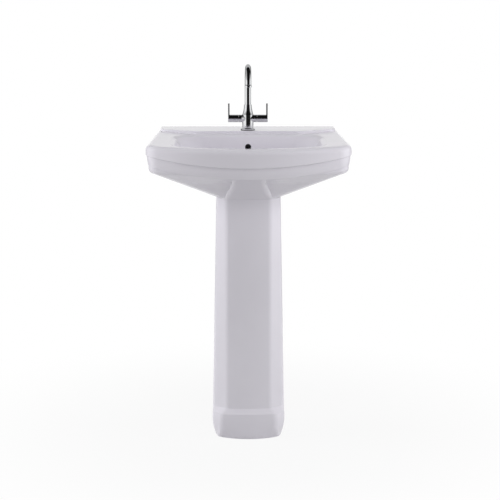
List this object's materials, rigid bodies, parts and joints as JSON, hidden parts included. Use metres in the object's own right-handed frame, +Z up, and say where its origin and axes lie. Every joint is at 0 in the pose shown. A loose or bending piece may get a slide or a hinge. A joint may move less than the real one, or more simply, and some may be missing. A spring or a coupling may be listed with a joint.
{
  "type": "pedestal sink",
  "caption": "White ceramic pedestal basin with bowed apron, tap ledge, swivelling gooseneck mixer, quarter-turn levers, push-down plug and bottle trap.",
  "frame": {"origin": "on the floor, under the middle of the bounding box of the whole sink", "axes": "+Z up from the floor, +Y towards the wall behind the basin, +X to the user's right when facing the wall"},
  "size_m": [0.5956, 0.49, 1.1088],
  "materials": {
    "glaze": "white gloss glaze",
    "chrome": "polished chrome plate",
    "seal_rubber": "moulded black rubber",
    "steel": "turned stainless steel",
    "brass": "machined brass",
    "disc_ceramic": "lapped ceramic",
    "white_plastic": "moulded white polypropylene",
    "grey_plastic": "moulded grey plastic"
  },
  "bodies": {
    "sink": {"basin": "glaze", "pedestal": "glaze", "tap_body": "chrome", "waste_body": "chrome", "tap_base_gasket": "seal_rubber", "horseshoe_gasket": "seal_rubber", "hot_cartridge_oring": "seal_rubber", "cold_cartridge_oring": "seal_rubber", "waste_top_gasket": "seal_rubber", "waste_bottom_gasket": "seal_rubber", "trap_inlet_washer": "seal_rubber", "trap_cup_seal": "seal_rubber", "trap_outlet_washer": "seal_rubber", "fixing_stud": "steel", "fixing_nut": "steel", "horseshoe_plate": "steel", "spout_stop_screw": "steel", "hot_cartridge": "brass", "cold_cartridge": "brass", "waste_backnut": "brass", "hot_fixed_disc": "disc_ceramic", "cold_fixed_disc": "disc_ceramic", "trap_inlet_nut": "white_plastic", "trap_dip_tube": "white_plastic", "trap_body": "white_plastic", "trap_cup": "white_plastic", "trap_outlet_nut": "white_plastic", "trap_outlet_pipe": "white_plastic"},
    "swivel_spout": {"spout": "chrome", "spout_orings": "seal_rubber", "aerator_housing": "chrome", "aerator_washer": "seal_rubber", "aerator_insert": "grey_plastic"},
    "hot_lever": {"hot_handle": "chrome", "hot_handle_screw": "steel", "hot_spindle": "brass", "hot_moving_disc": "disc_ceramic"},
    "cold_lever": {"cold_handle": "chrome", "cold_handle_screw": "steel", "cold_spindle": "brass", "cold_moving_disc": "disc_ceramic"},
    "plug": {"plug_cap": "chrome", "plug_seal": "seal_rubber", "plug_stem": "brass"}
  },
  "joints": [
    {"name": "spout_swivel", "type": "hinge", "parent": "sink", "child": "swivel_spout", "pos_m": [0, 0.128, 0.968], "axis": [0, 0, 1], "range_deg": [-90, 90]},
    {"name": "hot_turn", "type": "hinge", "parent": "sink", "child": "hot_lever", "pos_m": [-0.04, 0.128, 0.941], "axis": [1, 0, 0], "range_deg": [0, 90]},
    {"name": "cold_turn", "type": "hinge", "parent": "sink", "child": "cold_lever", "pos_m": [0.04, 0.128, 0.941], "axis": [1, 0, 0], "range_deg": [0, 90]},
    {"name": "plug_press", "type": "slide", "parent": "sink", "child": "plug", "axis": [0, 0, 1], "range_m": [-0.0075, 0]}
  ]
}
